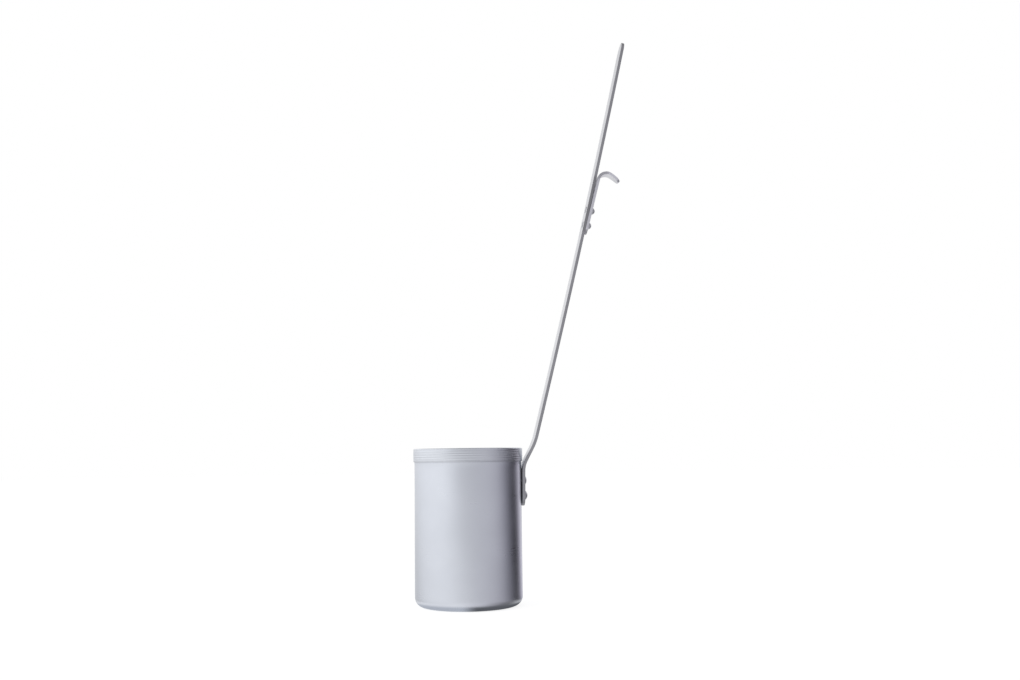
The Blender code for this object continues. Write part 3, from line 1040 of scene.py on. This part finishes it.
@dataclass
class Dipper:
    """The whole dipper: cup, handle, hook and four rivets. Its angles are in degrees.

    Attributes:
        cup: The drawn cup.
        gap: Clearance between seated pieces, as in the solids.
        handle_width: Width of the handle's strip.
        handle_thickness: Its thickness.
        handle_edge: Rounding of its edges.
        foot_end: From the foot's end to the lower cup rivet.
        cup_rivet_pitch: From the lower cup rivet to the upper one.
        foot_margin: From the upper cup rivet to the end of the flat foot.
        foot_lean: How far the foot leans in, to lie tight on the wall.
        bend_below_hem: How far below the hem the lower bend's corner lies.
        lower_bend: Radius and turn of the bend away from an upright foot.
        slope: Length of the straight between the handle's two bends.
        upper_bend: Radius and turn of the bend back up.
        blade: Length and turn of the bowed blade.
        blade_rows: Rows of faces along the blade.
        hook_width: Width of the hook's strip.
        hook_thickness: Its thickness.
        hook_swell: What it has more than that, to lie tight on the handle.
        hook_edge: Rounding of its edges.
        hook_tip_width: Its width at its tip.
        hook_tongue: Length of the stretch that narrows towards the tip.
        hook_from_tip: From the hook's lower end up to the handle's tip.
        hook_spring: How far the hook springs off the handle.
        hook_end_margin: From the hook's lower end to its lower rivet.
        hook_rivet_pitch: From the lower hook rivet to the upper one.
        hook_back: From the upper hook rivet to the bend.
        hook_bend: Radius and turn of the tight bend.
        hook_flat: Length of the straight after it.
        hook_curl: Radius and turn of each stretch of the curl.
        cup_head: Radius of the cup rivets' heads.
        cup_shank: Radius of their shanks.
        cup_rises: Heights of their outer heads, the lower rivet's first.
        cup_inner_rise: Height of their inner heads.
        hook_head: Radius of the hook rivets' heads.
        hook_shank: Radius of their shanks.
        hook_rise: Height of their outer heads.
        hook_inner_rise: Height of their inner heads.
    """

    cup: Cup = field(default_factory=Cup)
    gap: float = 0.00025

    handle_width: float = 0.020
    handle_thickness: float = 0.0028
    handle_edge: float = 0.0005
    foot_end: float = 0.00945
    cup_rivet_pitch: float = 0.0137
    foot_margin: float = 0.00855
    foot_lean: float = 0.4
    bend_below_hem: float = 0.0044
    lower_bend: Point2 = (0.0205, 27.4)
    slope: float = 0.0129
    upper_bend: Point2 = (0.0547, -13.1)
    blade: Point2 = (0.3901, -1.8)
    blade_rows: int = 40

    hook_width: float = 0.012
    hook_thickness: float = 0.0025
    hook_swell: float = 0.0002
    hook_edge: float = 0.00025
    hook_tip_width: float = 0.009
    hook_tongue: float = 0.0143
    hook_from_tip: float = 0.1935
    hook_spring: float = 1.0
    hook_end_margin: float = 0.0087
    hook_rivet_pitch: float = 0.0148
    hook_back: float = 0.0313
    hook_bend: Point2 = (0.0063, 69.4)
    hook_flat: float = 0.0010
    hook_curl: tuple[Point2, ...] = ((0.0051, 35.5), (0.031, 20.5))

    cup_head: float = 0.0045
    cup_shank: float = 0.0025
    cup_rises: Point2 = (0.00265, 0.0019)
    cup_inner_rise: float = 0.0012
    hook_head: float = 0.00325
    hook_shank: float = 0.0019
    hook_rise: float = 0.0026
    hook_inner_rise: float = 0.0004

    @staticmethod
    def bend(radius: float, degrees: float) -> Move:
        """Return the move round a bend of the outer face, which turns from +Z towards +X."""
        return radius * math.radians(abs(degrees)), math.radians(degrees), math.ceil(abs(degrees))

    @staticmethod
    def head_seats(first: float, pitch: float, head: float) -> tuple[Seat, ...]:
        """Lay out the seats of a strip's two rivet heads.

        Args:
            first: Where along the strip the lower rivet is.
            pitch: From there to the upper rivet.
            head: Radius of the heads.

        Returns:
            The lower head's seat and the upper one's.
        """
        return tuple(
            Seat(centre=(distance, 0.0, 0.0), half=(0.0, 0.0, 0.0), radius=head)
            for distance in (first, first + pitch))

    @staticmethod
    def darken_edges(begin: float, end: float, strength: float, reach: float = 0.003) -> Seat:
        """Darken a stretch of a strip's two edges.

        Args:
            begin: Where along the strip it begins.
            end: Where it ends.
            strength: How dark it is.
            reach: How far it fades beyond its ends.

        Returns:
            The seat that stands for it.
        """
        past_edges = 0.02
        return Seat(
            centre=((begin + end) / 2, 0.0, 0.0), half=((end - begin) / 2, past_edges, 0.0),
            radius=0.0005, reach=reach, strength=strength)

    def handle(self) -> Strip:
        """Shape the handle: flat foot, two bends past the hem, and a slightly bowed blade.

        Returns:
            The handle's strip.
        """
        bend_radius, bend_turn = self.lower_bend
        bend_turn -= self.foot_lean
        blade_length, blade_turn = self.blade
        foot = self.foot_end + self.cup_rivet_pitch + self.foot_margin
        moves = [
            (foot, 0.0, 1), self.bend(bend_radius, bend_turn), (self.slope, 0.0, 1),
            self.bend(*self.upper_bend), (blade_length, math.radians(blade_turn), self.blade_rows)]
        lean = math.radians(self.foot_lean)
        reach = foot + bend_radius * math.tan(math.radians(bend_turn) / 2)
        face_x = self.cup.radius + self.gap + self.handle_thickness
        bend_z = self.cup.hem_foot - self.bend_below_hem
        path = StripPath((face_x - reach * math.sin(lean), bend_z - reach * math.cos(lean), lean), moves)
        lap = path.length - self.hook_from_tip
        lap_core = 0.010
        # Painted shade on the handle's outer face, round where the hook's lower end lies on it.
        shade_under_hook = Seat(
            centre=(lap + self.hook_width / 2 + lap_core, 0.0, 0.0), half=(lap_core, 0.0, 0.0),
            radius=self.hook_width / 2, reach=0.0004)
        # Painted shade on the handle's edges beside the hook.
        shade_beside_hook = self.darken_edges(lap + 0.002, lap + 0.053, strength=0.25)
        at_tip = self.darken_edges(path.length - 0.0018, path.length + 0.0018, strength=0.45)
        return Strip(
            "handle", path, width=self.handle_width, tip_width=self.handle_width,
            taper_from=path.length / 2, thickness=self.handle_thickness, edge_radius=self.handle_edge,
            slot="handle_metal", edge=HANDLE_EDGE_PAINTED_SHADE,
            seats=(*self.head_seats(self.foot_end, self.cup_rivet_pitch, self.cup_head), shade_under_hook),
            edge_seats=(shade_beside_hook, at_tip))

    def hook(self, seat: Place) -> Strip:
        """Shape the hook: a flat back, a tight bend and a narrowed, curling tongue.

        Args:
            seat: Where its lower end lies on the handle's outer face.

        Returns:
            The hook's strip.
        """
        lean = seat[2] + math.radians(self.hook_spring)
        stand = self.gap + self.hook_thickness
        start = (seat[0] + stand * math.cos(lean), seat[1] - stand * math.sin(lean), lean)
        back = self.hook_end_margin + self.hook_rivet_pitch + self.hook_back
        curl = [self.bend(radius, degrees) for radius, degrees in self.hook_curl]
        path = StripPath(start, [(back, 0.0, 1), self.bend(*self.hook_bend), (self.hook_flat, 0.0, 1), *curl])
        at_end = self.darken_edges(-0.002, 0.002, strength=0.5)
        # Painted shade on the hook's edges in the crook of its bend.
        shade_in_crook = self.darken_edges(back + 0.002, back + 0.008, strength=0.35, reach=0.004)
        return Strip(
            "hook", path, width=self.hook_width, tip_width=self.hook_tip_width,
            taper_from=path.length - self.hook_tongue, thickness=self.hook_thickness + self.hook_swell,
            edge_radius=self.hook_edge, slot="hook_metal", edge=HOOK_EDGE_PAINTED_LIGHT,
            seats=self.head_seats(self.hook_end_margin, self.hook_rivet_pitch, self.hook_head),
            edge_seats=(at_end, shade_in_crook))

    def cup_rivets(self, path: StripPath) -> list[Rivet]:
        """Shape the rivets through the cup wall.

        Args:
            path: The handle's path.

        Returns:
            The lower rivet and the upper one.
        """
        inside = self.cup.radius - self.cup.wall
        inner_seat = math.sqrt(inside ** 2 - self.cup_head ** 2) - self.gap
        rivets = []
        for level, (name, rise) in enumerate(zip(CUP_RIVETS, self.cup_rises)):
            place = path.at(self.foot_end + level * self.cup_rivet_pitch)
            rivets.append(Rivet(
                name, place, stand=self.gap, head=self.cup_head, shank=self.cup_shank, rise=rise,
                inner_rise=self.cup_inner_rise, grip=place[0] + self.gap - inner_seat))
        return rivets

    def hook_rivets(self, path: StripPath) -> list[Rivet]:
        """Shape the rivets through the handle and the hook.

        Args:
            path: The handle's path.

        Returns:
            The lower rivet and the upper one.
        """
        rivets = []
        for level, name in enumerate(HOOK_RIVETS):
            reach = self.hook_end_margin + level * self.hook_rivet_pitch
            place = path.at(path.length - self.hook_from_tip + reach)
            opened = (reach + self.hook_head) * math.tan(math.radians(self.hook_spring))
            stand = self.gap + opened + self.hook_thickness + self.gap
            rivets.append(Rivet(
                name, place, stand=stand, head=self.hook_head, shank=self.hook_shank, rise=self.hook_rise,
                inner_rise=self.hook_inner_rise, grip=stand + self.handle_thickness + self.gap))
        return rivets

    @staticmethod
    def keep(node: str, slot: str, item: bpy.types.Object) -> None:
        """Put a built piece in the place of its CAD node.

        Args:
            node: The CAD node.
            slot: The record's material slot; not used.
            item: The piece.
        """
        item.name = f"{node}_skin"
        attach(item, "root")
        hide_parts(node)
        low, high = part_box(node)
        points = [vertex.co for vertex in item.data.vertices]
        stray = max(
            max(abs(min(p[axis] for p in points) - low[axis]), abs(max(p[axis] for p in points) - high[axis]))
            for axis in range(3))
        log.info("%s: %d faces, its box within %.2f mm of the solid's",
                 item.name, len(item.data.polygons), 1000 * stray)

    def build(self) -> None:
        """Build and dress every piece."""
        handle = self.handle()
        seat = handle.path.at(handle.path.length - self.hook_from_tip)
        hook = self.hook(seat)
        self.keep("cup", self.cup.slot, self.cup.build())
        for strip in (handle, hook):
            self.keep(strip.name, strip.slot, strip.build())
        for rivet in (*self.cup_rivets(handle.path), *self.hook_rivets(handle.path)):
            self.keep(rivet.name, rivet.slot, rivet.build())


@dataclass(frozen=True)
class Tone:
    """How bright the studio is in one direction round the object.

    Attributes:
        azimuth: Degrees from the front, towards the right.
        red: The light that a mirror would show there.
        green: Its green, as a share of the red.
        blue: Its blue, as a share of the red.
    """

    azimuth: float
    red: float
    green: float = 1.0
    blue: float = 1.0

    @property
    def colour(self) -> tuple[float, float, float, float]:
        """The light's colour."""
        return self.red, self.red * self.green, self.red * self.blue, 1.0


@dataclass
class Studio:
    """A plain pale room with soft light, and the camera at the photograph's angle.

    Attributes:
        location: The camera's place.
        yaw: Its turn from +Y towards +X, in degrees.
        pitch: Its tilt upwards, in degrees.
        roll: Its turn about its own line of sight, in degrees.
        lens: Its focal length, in millimetres.
        shift: How far the picture lies off the lens's axis, as a share of its width.
        slant: How many degrees the upper and lower rings turn for each degree of height.
        slant_limit: The Z above and below which they turn no further.
        above: The light that comes down from above, round the object.
        upper: The light round the object at its own height.
        lower: The light round it a little below its own height.
        ground: The light that comes up from the table round it.
        lower_span: The Z of the directions between which the lower ring takes over.
        ground_span: The same for the ground.
        above_span: The same for the light from above.
        fill: How bright the room is to a surface that isn't glossy.
        lamp_place: The softbox's place.
        lamp_aim: The place that it faces.
        lamp_size: Its width and height.
        lamp_power: Its power, in watts.
        floor_radius: The floor's radius.
        floor_tone: Its colour, as one grey.
        glow: How brightly it glows for the camera.
        glow_share: How much of what the camera sees of it is glow, the rest being lit floor.
        shade_radius: Radius of the painted shade under the cup.
        shade_rim: The radii between which it fades out.
        shade_turn: The X between which it goes from its left tone to its right one.
        shade_left: Its tone on the left, lighter on the side the light comes from.
        shade_right: Its tone on the right.
    """

    location: Place = (-0.06150, -1.00552, 0.13239)
    yaw: float = 5.809
    pitch: float = 6.193
    roll: float = -0.699
    lens: float = 38.337
    shift: Point2 = (-0.00049, 0.00049)
    slant: float = 1.8
    slant_limit: float = 0.3
    above: tuple[Tone, ...] = (
        Tone(-180.0, 0.75), Tone(-120.0, 0.75), Tone(-75.0, 0.72), Tone(-45.0, 0.48), Tone(-25.0, 0.38),
        Tone(0.0, 0.42, 0.99, 1.02), Tone(30.0, 0.50, 0.99, 1.03), Tone(55.0, 0.60, 0.985, 1.03),
        Tone(80.0, 0.48, 0.98, 1.03), Tone(100.0, 0.32, 0.98, 1.03), Tone(135.0, 0.55), Tone(180.0, 0.75))
    upper: tuple[Tone, ...] = (
        Tone(-180.0, 0.83), Tone(-150.0, 0.90), Tone(-126.0, 1.01), Tone(-101.0, 1.07), Tone(-72.0, 1.07),
        Tone(-52.0, 1.07), Tone(-38.0, 0.92, 1.0, 1.01), Tone(-21.0, 0.66, 1.0, 1.02),
        Tone(-3.0, 0.53, 0.99, 1.03), Tone(16.0, 0.505, 0.99, 1.03), Tone(33.0, 0.54, 0.99, 1.03),
        Tone(50.0, 0.59, 0.985, 1.03), Tone(63.0, 0.55, 0.97, 1.05), Tone(74.0, 0.43, 0.965, 1.08),
        Tone(84.0, 0.23, 0.96, 1.14), Tone(91.0, 0.09, 0.95, 1.25), Tone(97.0, 0.01, 0.95, 1.4),
        Tone(112.0, 0.01, 0.92, 1.3), Tone(120.0, 0.12, 0.90, 1.12), Tone(130.0, 0.46, 0.93, 1.05),
        Tone(140.0, 0.80, 0.95, 1.02), Tone(150.0, 0.84, 0.98, 1.0), Tone(180.0, 0.83))
    lower: tuple[Tone, ...] = (
        Tone(-180.0, 0.70), Tone(-157.0, 0.53), Tone(-139.0, 0.64), Tone(-114.0, 0.74), Tone(-90.0, 0.79),
        Tone(-50.0, 0.83), Tone(-32.0, 0.80), Tone(-15.0, 0.75), Tone(2.0, 0.67, 0.99, 1.02),
        Tone(20.0, 0.60, 0.985, 1.03), Tone(38.0, 0.52, 0.98, 1.03), Tone(52.0, 0.46, 0.97, 1.04),
        Tone(63.0, 0.37, 0.97, 1.05), Tone(74.0, 0.24, 0.965, 1.07), Tone(84.0, 0.19, 0.96, 1.10),
        Tone(91.0, 0.10, 0.95, 1.16), Tone(97.0, 0.0), Tone(113.0, 0.0),
        Tone(120.0, 0.12, 0.92, 1.15), Tone(127.0, 0.45, 0.94, 1.1), Tone(138.0, 0.80, 0.97, 1.05),
        Tone(155.0, 0.80), Tone(180.0, 0.70))
    ground: tuple[Tone, ...] = (
        Tone(-180.0, 0.86), Tone(-60.0, 0.87), Tone(-25.0, 0.86), Tone(10.0, 0.67, 0.99, 1.02),
        Tone(30.0, 0.62, 0.99, 1.03), Tone(50.0, 0.41, 0.99, 1.03), Tone(70.0, 0.28, 0.98, 1.04),
        Tone(90.0, 0.18, 0.98, 1.04), Tone(106.0, 0.16), Tone(120.0, 0.4), Tone(135.0, 0.65),
        Tone(180.0, 0.86))
    lower_span: Point2 = (0.0, -0.13)
    ground_span: Point2 = (-0.18, -0.36)
    above_span: Point2 = (0.16, 0.60)
    fill: float = 0.55
    lamp_place: Place = (-1.5, -0.9, 1.4)
    lamp_aim: Place = (0.0, 0.0, 0.15)
    lamp_size: Point2 = (1.2, 1.0)
    lamp_power: float = 6.0
    floor_radius: float = 9.0
    floor_tone: float = 0.86
    glow: float = 1.36
    glow_share: float = 0.62
    shade_radius: float = 0.056
    shade_rim: Point2 = (0.0470, 0.0545)
    shade_turn: Point2 = (-0.012, 0.006)
    shade_left: tuple[float, ...] = (0.52, 0.54, 0.575, 1.0)
    shade_right: tuple[float, ...] = (0.12, 0.124, 0.132, 1.0)

    def place_camera(self) -> None:
        """Create the camera and make it the scene's own."""
        lens = bpy.data.cameras.new("camera")
        lens.lens = self.lens
        lens.sensor_width = 36.0
        lens.sensor_fit = "HORIZONTAL"
        lens.shift_x, lens.shift_y = self.shift
        lens.clip_start = 0.01
        camera = bpy.data.objects.new("camera", lens)
        bpy.context.scene.collection.objects.link(camera)
        facing = (
            Matrix.Rotation(-math.radians(self.yaw), 4, "Z")
            @ Matrix.Rotation(math.radians(90.0 + self.pitch), 4, "X")
            @ Matrix.Rotation(math.radians(self.roll), 4, "Z"))
        camera.matrix_world = Matrix.Translation(self.location) @ facing
        bpy.context.scene.camera = camera

    @staticmethod
    def tones(graph: Graph, share: Socket, tones: Sequence[Tone]) -> Socket:
        """Blend a ring of tones.

        Args:
            graph: The world's graph.
            share: Azimuth as a share of the full turn, 0.5 at the front.
            tones: The ring's tones, in order.

        Returns:
            The ring's colour at that azimuth.
        """
        ring = graph.node("ShaderNodeValToRGB", {"Fac": share})
        ramp = ring.color_ramp
        ramp.interpolation = "LINEAR"
        while len(ramp.elements) < len(tones):
            ramp.elements.new(0.5)
        for element, tone in zip(ramp.elements, tones):
            element.position = tone.azimuth / 360.0 + 0.5
            element.color = tone.colour
        return ring.outputs["Color"]

    @staticmethod
    def turn_share(graph: Graph, angle: Socket) -> Socket:
        """Return an azimuth in radians as a share of the full turn, 0.5 at the front."""
        front, whole_turn = 0.5, 1.0
        return graph.math("FRACT", graph.math("MULTIPLY_ADD", angle, 1.0 / math.tau, front + whole_turn))

    @staticmethod
    def plain_rays(graph: Graph) -> Socket:
        """Return 1 for the rays that see the backdrop as plain white, and else 0."""
        rays = graph.node("ShaderNodeLightPath").outputs
        return graph.math("MAXIMUM", rays["Is Camera Ray"], rays["Is Transmission Ray"])

    def light_world(self) -> None:
        """Light the object from all round, and show the camera a white backdrop."""
        world = bpy.data.worlds.new("studio")
        bpy.context.scene.world = world
        world.use_nodes = True
        world.node_tree.nodes.clear()
        graph = Graph(world.node_tree)
        way = graph.node("ShaderNodeTexCoord").outputs["Generated"]
        axes = graph.node("ShaderNodeSeparateXYZ", {0: way}).outputs
        azimuth = graph.math("ARCTAN2", axes["X"], graph.math("MULTIPLY", axes["Y"], -1.0))
        height = graph.math("MAXIMUM", axes["Z"], -self.slant_limit)
        height = graph.math("MINIMUM", height, self.slant_limit)
        slanted = self.turn_share(graph, graph.math("MULTIPLY_ADD", height, self.slant, azimuth))
        level = self.turn_share(graph, azimuth)
        inputs = {"Value": axes["Z"], "From Min": self.lower_span[0], "From Max": self.lower_span[1]}
        drop = graph.node("ShaderNodeMapRange", inputs).outputs["Result"]
        seen = graph.mix(
            drop, self.tones(graph, slanted, self.upper), self.tones(graph, slanted, self.lower))
        for span, ring in ((self.ground_span, self.ground), (self.above_span, self.above)):
            seen = graph.mix(graph.spread(axes["Z"], *span), seen, self.tones(graph, level, ring))
        rays = graph.node("ShaderNodeLightPath").outputs
        soft = graph.mix(rays["Is Glossy Ray"], (self.fill, self.fill, self.fill, 1.0), seen)
        colour = graph.mix(self.plain_rays(graph), soft, WHITE)
        sky = graph.node("ShaderNodeBackground", {"Color": colour, "Strength": 1.0})
        graph.node("ShaderNodeOutputWorld", {"Surface": sky.outputs[0]})

    def hang_lamp(self) -> None:
        """Hang one big softbox to the left, in front and above, for the floor and its shadow."""
        lamp = bpy.data.lights.new("softbox", "AREA")
        lamp.shape = "RECTANGLE"
        lamp.size, lamp.size_y = self.lamp_size
        lamp.energy = self.lamp_power
        box = bpy.data.objects.new("softbox", lamp)
        bpy.context.scene.collection.objects.link(box)
        box.location = self.lamp_place
        box.visible_glossy = False
        box.rotation_euler = (Vector(self.lamp_aim) - box.location).to_track_quat("-Z", "Y").to_euler()

    @staticmethod
    def disc(name: str, radius: float, drop: float) -> tuple[bpy.types.Object, Graph]:
        """Lay a flat round sheet of the studio's under the object.

        Args:
            name: Its name.
            radius: Its radius.
            drop: How far it lies below the object.

        Returns:
            The sheet, and the graph of its material.
        """
        builder = bmesh.new()
        bmesh.ops.create_circle(builder, cap_ends=True, segments=128, radius=radius)
        mesh = bpy.data.meshes.new(name)
        builder.to_mesh(mesh)
        builder.free()
        made = bpy.data.materials.new(name)
        made.use_nodes = True
        mesh.materials.append(made)
        sheet = bpy.data.objects.new(name, mesh)
        bpy.context.scene.collection.objects.link(sheet)
        sheet.location.z = cad_box[0][2] - drop
        return sheet, Graph(made.node_tree)

    def lay_floor(self) -> None:
        """Lay the pale floor, which keeps the object's soft shadow."""
        floor, graph = self.disc("floor", self.floor_radius, drop=0.0001)
        floor.visible_glossy = False
        nodes = graph.tree.nodes
        shader = nodes["Principled BSDF"]
        shader.inputs["Base Color"].default_value = (self.floor_tone, self.floor_tone, self.floor_tone, 1.0)
        shader.inputs["Roughness"].default_value = 0.9
        shader.inputs["Specular IOR Level"].default_value = 0.0
        glow = graph.node("ShaderNodeEmission", {"Color": WHITE, "Strength": self.glow})
        share = graph.math("MULTIPLY", self.plain_rays(graph), self.glow_share)
        both = graph.node("ShaderNodeMixShader", {0: share, 1: shader.outputs[0], 2: glow.outputs[0]})
        graph.tree.links.new(both.outputs[0], nodes["Material Output"].inputs["Surface"])

    def lay_shade(self) -> None:
        """Lay painted shade under the cup: a glowing sheet, lighter on its left, that only the metal's
        reflections show.
        """
        shade, graph = self.disc("shade", self.shade_radius, drop=0.00005)
        for ray in ("camera", "diffuse", "shadow", "transmission"):
            setattr(shade, f"visible_{ray}", False)
        nodes = graph.tree.nodes
        place = graph.node("ShaderNodeTexCoord").outputs["Object"]
        across = graph.node("ShaderNodeSeparateXYZ", {0: place}).outputs["X"]
        tone = graph.mix(graph.spread(across, *self.shade_turn), self.shade_left, self.shade_right)
        dark = graph.node("ShaderNodeEmission", {"Color": tone, "Strength": 1.0})
        clear = graph.node("ShaderNodeBsdfTransparent")
        share = graph.spread(graph.vector("LENGTH", place), *self.shade_rim)
        both = graph.node("ShaderNodeMixShader", {0: share, 1: dark.outputs[0], 2: clear.outputs[0]})
        graph.tree.links.new(both.outputs[0], nodes["Material Output"].inputs["Surface"])

    def build(self) -> None:
        """Set up the camera, the light and the floor."""
        self.place_camera()
        self.light_world()
        self.hang_lamp()
        self.lay_floor()
        self.lay_shade()
        bpy.context.scene.view_settings.view_transform = "Standard"


def main() -> None:
    """Build the studio and the dipper; each piece logs how far its box lies from its solid's."""
    logging.basicConfig(level=logging.INFO, format="%(name)s: %(message)s")
    Studio().build()
    Dipper().build()


if __name__ == "__main__":
    main()
